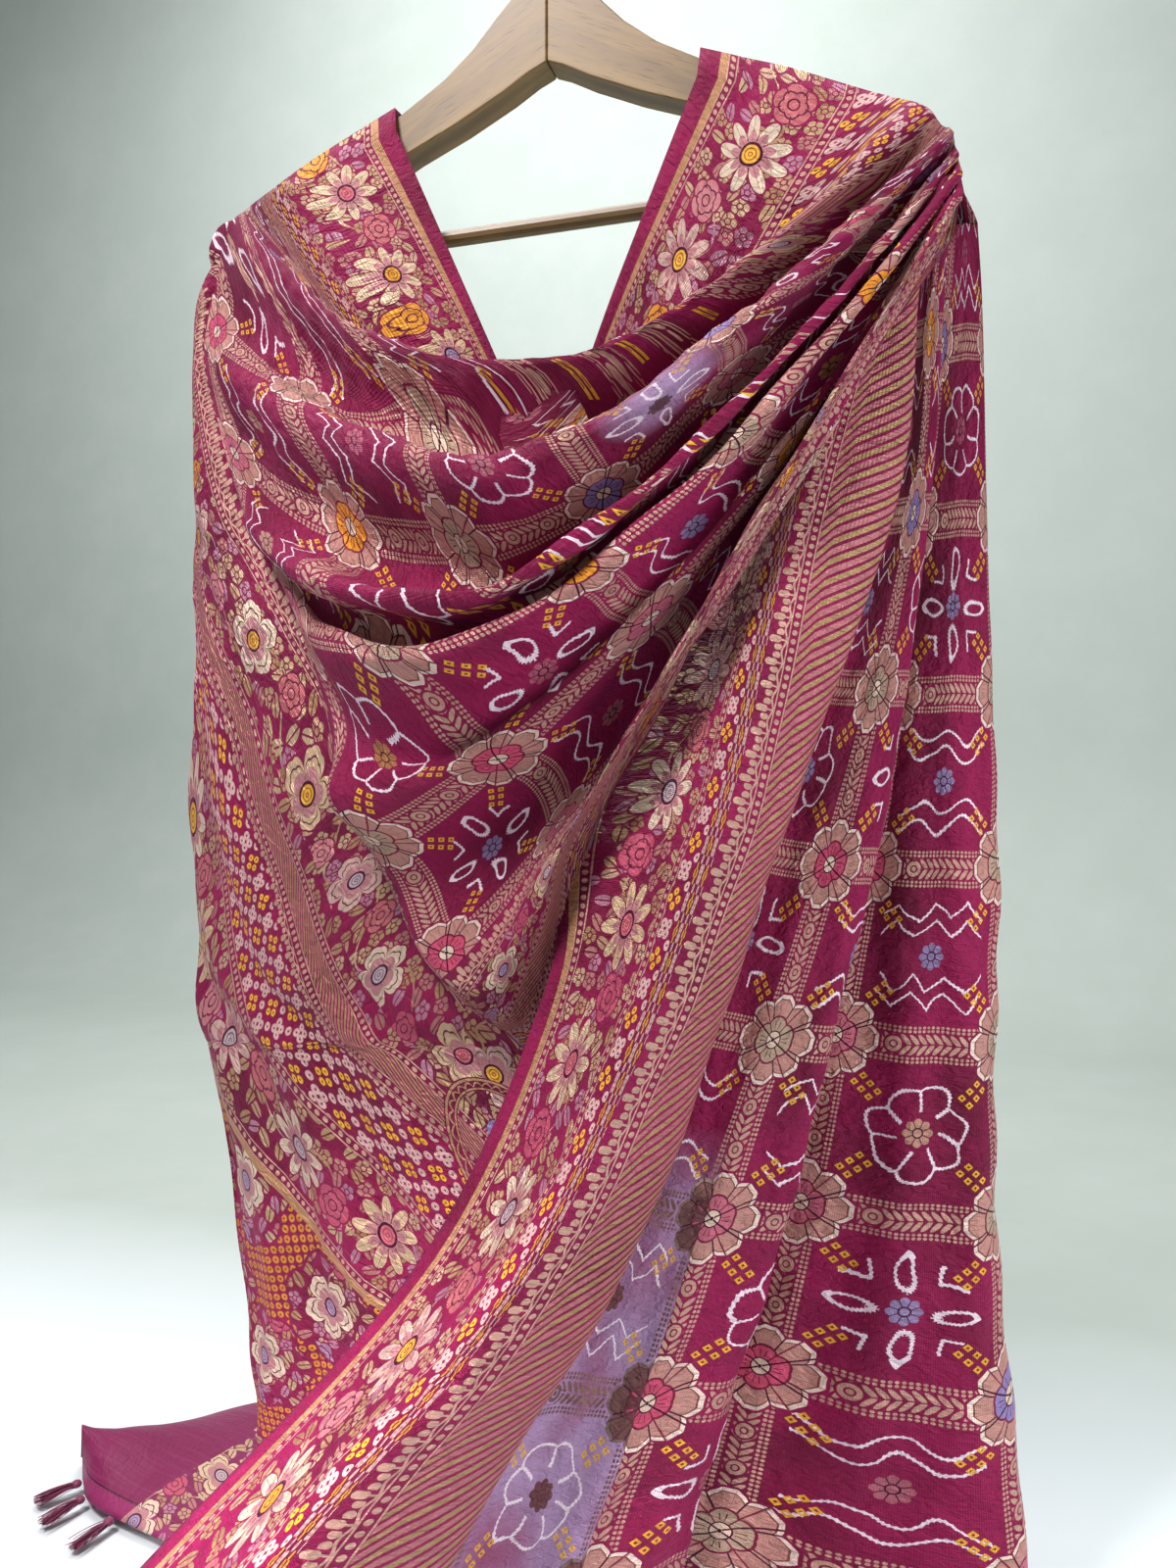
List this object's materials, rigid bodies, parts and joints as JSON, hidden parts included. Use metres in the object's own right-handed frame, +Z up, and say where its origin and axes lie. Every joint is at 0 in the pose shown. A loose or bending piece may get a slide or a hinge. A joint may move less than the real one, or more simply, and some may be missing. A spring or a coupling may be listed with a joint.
{
  "type": "dupatta stole draped on a wooden hanger",
  "caption": "Woven wine-red dupatta stole with gold floral borders and a checked field of blossoms, draped over a wooden hanger with a steel hook",
  "frame": {"origin": "the inside top of the hanger's hook, where a rod carries it", "axes": "+Z up, +X along the hanger to the side where the stole falls in long slanted folds, -Y to the front, the side the swag is on"},
  "size_m": [0.6272, 0.5352, 1.0589],
  "materials": {
    "wood": "satin varnish",
    "hook_steel": "bright",
    "stole_ground": "soft crinkled silk blend",
    "stole_border": "gold zari brocade",
    "tassel_silk": "twisted silk"
  },
  "bodies": {
    "root": {"hanger_arm_left": "wood", "hanger_arm_right": "wood", "hanger_bar": "wood", "hanger_hook": "hook_steel", "swag_neck": "stole_border", "swag_front": "stole_ground", "swag_low": "stole_ground", "fall_left": "stole_ground", "fall_border": "stole_border", "fall_middle": "stole_ground", "fall_back": "stole_ground", "end_strip": "stole_ground", "tassel_1": "tassel_silk", "tassel_2": "tassel_silk", "tassel_3": "tassel_silk"}
  },
  "joints": []
}
